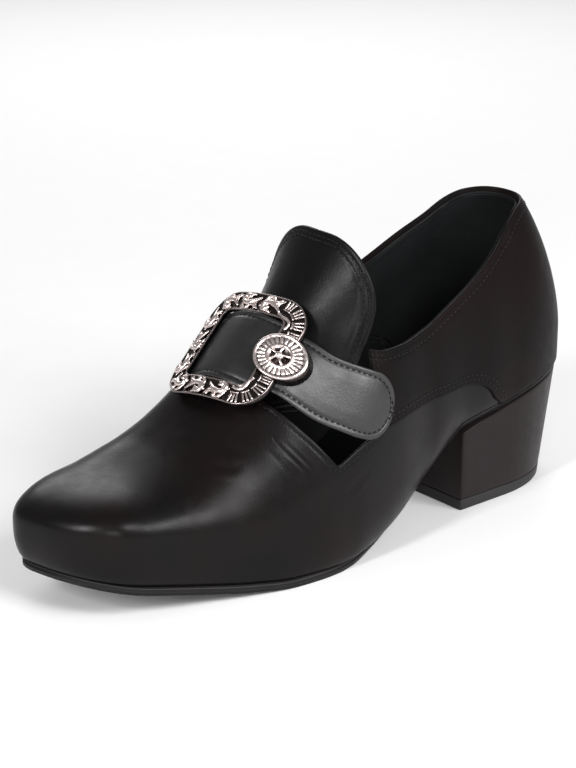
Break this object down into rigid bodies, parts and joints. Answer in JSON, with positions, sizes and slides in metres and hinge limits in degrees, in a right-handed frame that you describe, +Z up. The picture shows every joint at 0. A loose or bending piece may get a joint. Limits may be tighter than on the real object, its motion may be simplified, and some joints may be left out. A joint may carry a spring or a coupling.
{
  "type": "buckle shoe",
  "caption": "Black leather buckle shoe with a square toe, tall flared tongue, block heel and an ornate cast buckle on its instep strap.",
  "frame": {"origin": "on the floor, at the middle of the heel's foot", "axes": "+Z up, -Y towards the toe, +X towards the outer side of the foot"},
  "size_m": [0.0952, 0.2844, 0.1365],
  "materials": {
    "black_leather": "smooth black leather with a fine grain and a soft gloss",
    "black_sole": "matt black sole rubber",
    "dark_lining": "dull black lining leather",
    "covered_heel": "satin brownish black covering",
    "old_silver": "antique silver plating, bright on the relief and black in its recesses"
  },
  "bodies": {
    "root": {"upper": "black_leather", "outsole": "black_sole", "insole": "dark_lining", "heel_block": "covered_heel", "top_piece": "black_sole", "tongue": "black_leather", "strap": "black_leather", "buckle": "old_silver", "buckle_bar": "old_silver"}
  },
  "joints": []
}
